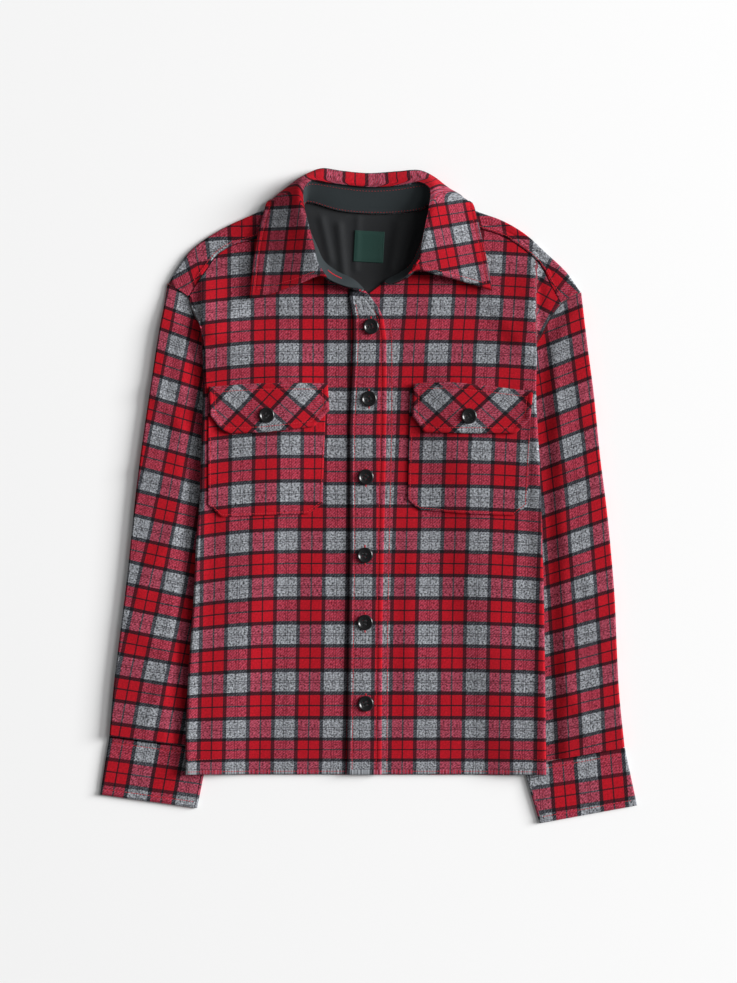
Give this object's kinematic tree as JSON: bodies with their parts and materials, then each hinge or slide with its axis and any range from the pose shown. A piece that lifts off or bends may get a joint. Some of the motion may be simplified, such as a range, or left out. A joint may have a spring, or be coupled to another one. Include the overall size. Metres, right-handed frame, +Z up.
{
  "type": "shacket",
  "caption": "Woman's check flannel shacket laid flat, front up: collar, yoke, button band, flapped chest pockets, cuffed sleeves lying behind the body.",
  "frame": {"origin": "centre of the outline in plan, on the surface that the garment lies on", "axes": "+Y from hem to collar, +X to the wearer's left, +Z up off the surface"},
  "size_m": [0.617, 0.7515, 0.0299],
  "materials": {
    "check_flannel": "brushed twill flannel in a red, black and gray check",
    "charcoal_lining": "smooth dark charcoal lining",
    "green_label": "plain woven dark green label",
    "black_button": "polished black"
  },
  "bodies": {
    "root": {"back": "check_flannel", "yoke": "check_flannel", "front_right": "check_flannel", "front_left": "check_flannel", "placket": "check_flannel", "collar_leaf": "check_flannel", "collar_stand": "check_flannel", "stand_facing": "charcoal_lining", "back_lining": "charcoal_lining", "neck_label": "green_label", "sleeve_right": "check_flannel", "sleeve_left": "check_flannel", "cuff_right": "check_flannel", "cuff_left": "check_flannel", "pocket_right": "check_flannel", "pocket_left": "check_flannel", "flap_right": "check_flannel", "flap_left": "check_flannel", "button_1": "black_button", "button_2": "black_button", "button_3": "black_button", "button_4": "black_button", "button_5": "black_button", "button_6": "black_button", "flap_button_right": "black_button", "flap_button_left": "black_button"}
  },
  "joints": []
}
